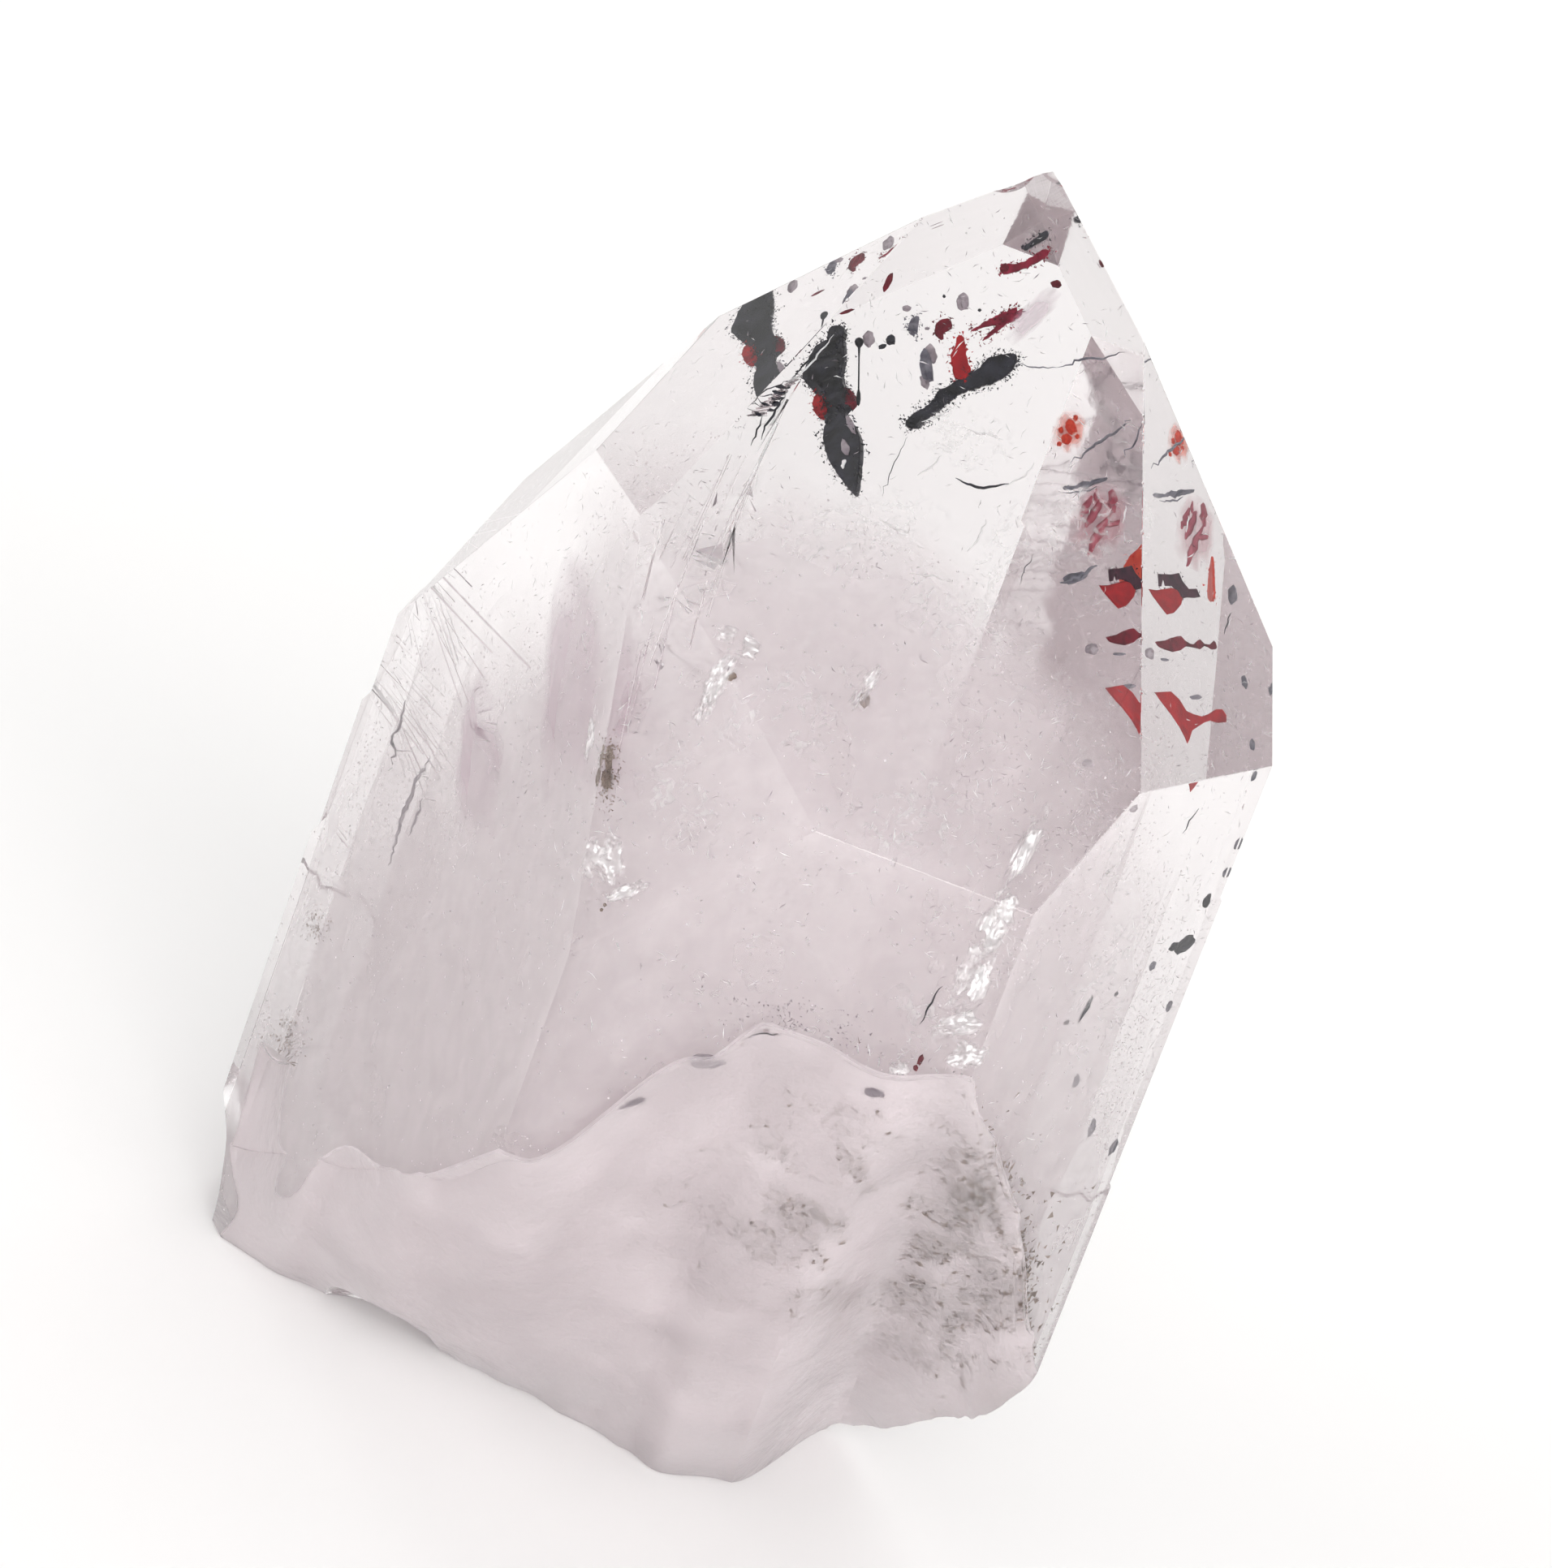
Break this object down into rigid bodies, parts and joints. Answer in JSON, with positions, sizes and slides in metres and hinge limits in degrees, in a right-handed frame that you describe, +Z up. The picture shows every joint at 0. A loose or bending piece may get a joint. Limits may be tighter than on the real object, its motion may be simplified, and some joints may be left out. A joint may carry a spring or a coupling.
{
  "type": "harlequin quartz crystal",
  "caption": "Single quartz point with stepped prism faces and an oblique break, clear at the tip and cloudy below, holding dark and red inclusions.",
  "frame": {"origin": "centre of the footprint, on the plane that the cut base rests on", "axes": "+Z up along the crystal's long axis to its tip, -Y towards the largest tip face at the front, +X to the right seen from the front"},
  "size_m": [0.0236, 0.0222, 0.0373],
  "materials": {
    "quartz": "polished natural crystal faces, clear at the tip and milky lilac towards the break"
  },
  "bodies": {
    "root": {"quartz_crystal": "quartz"}
  },
  "joints": []
}
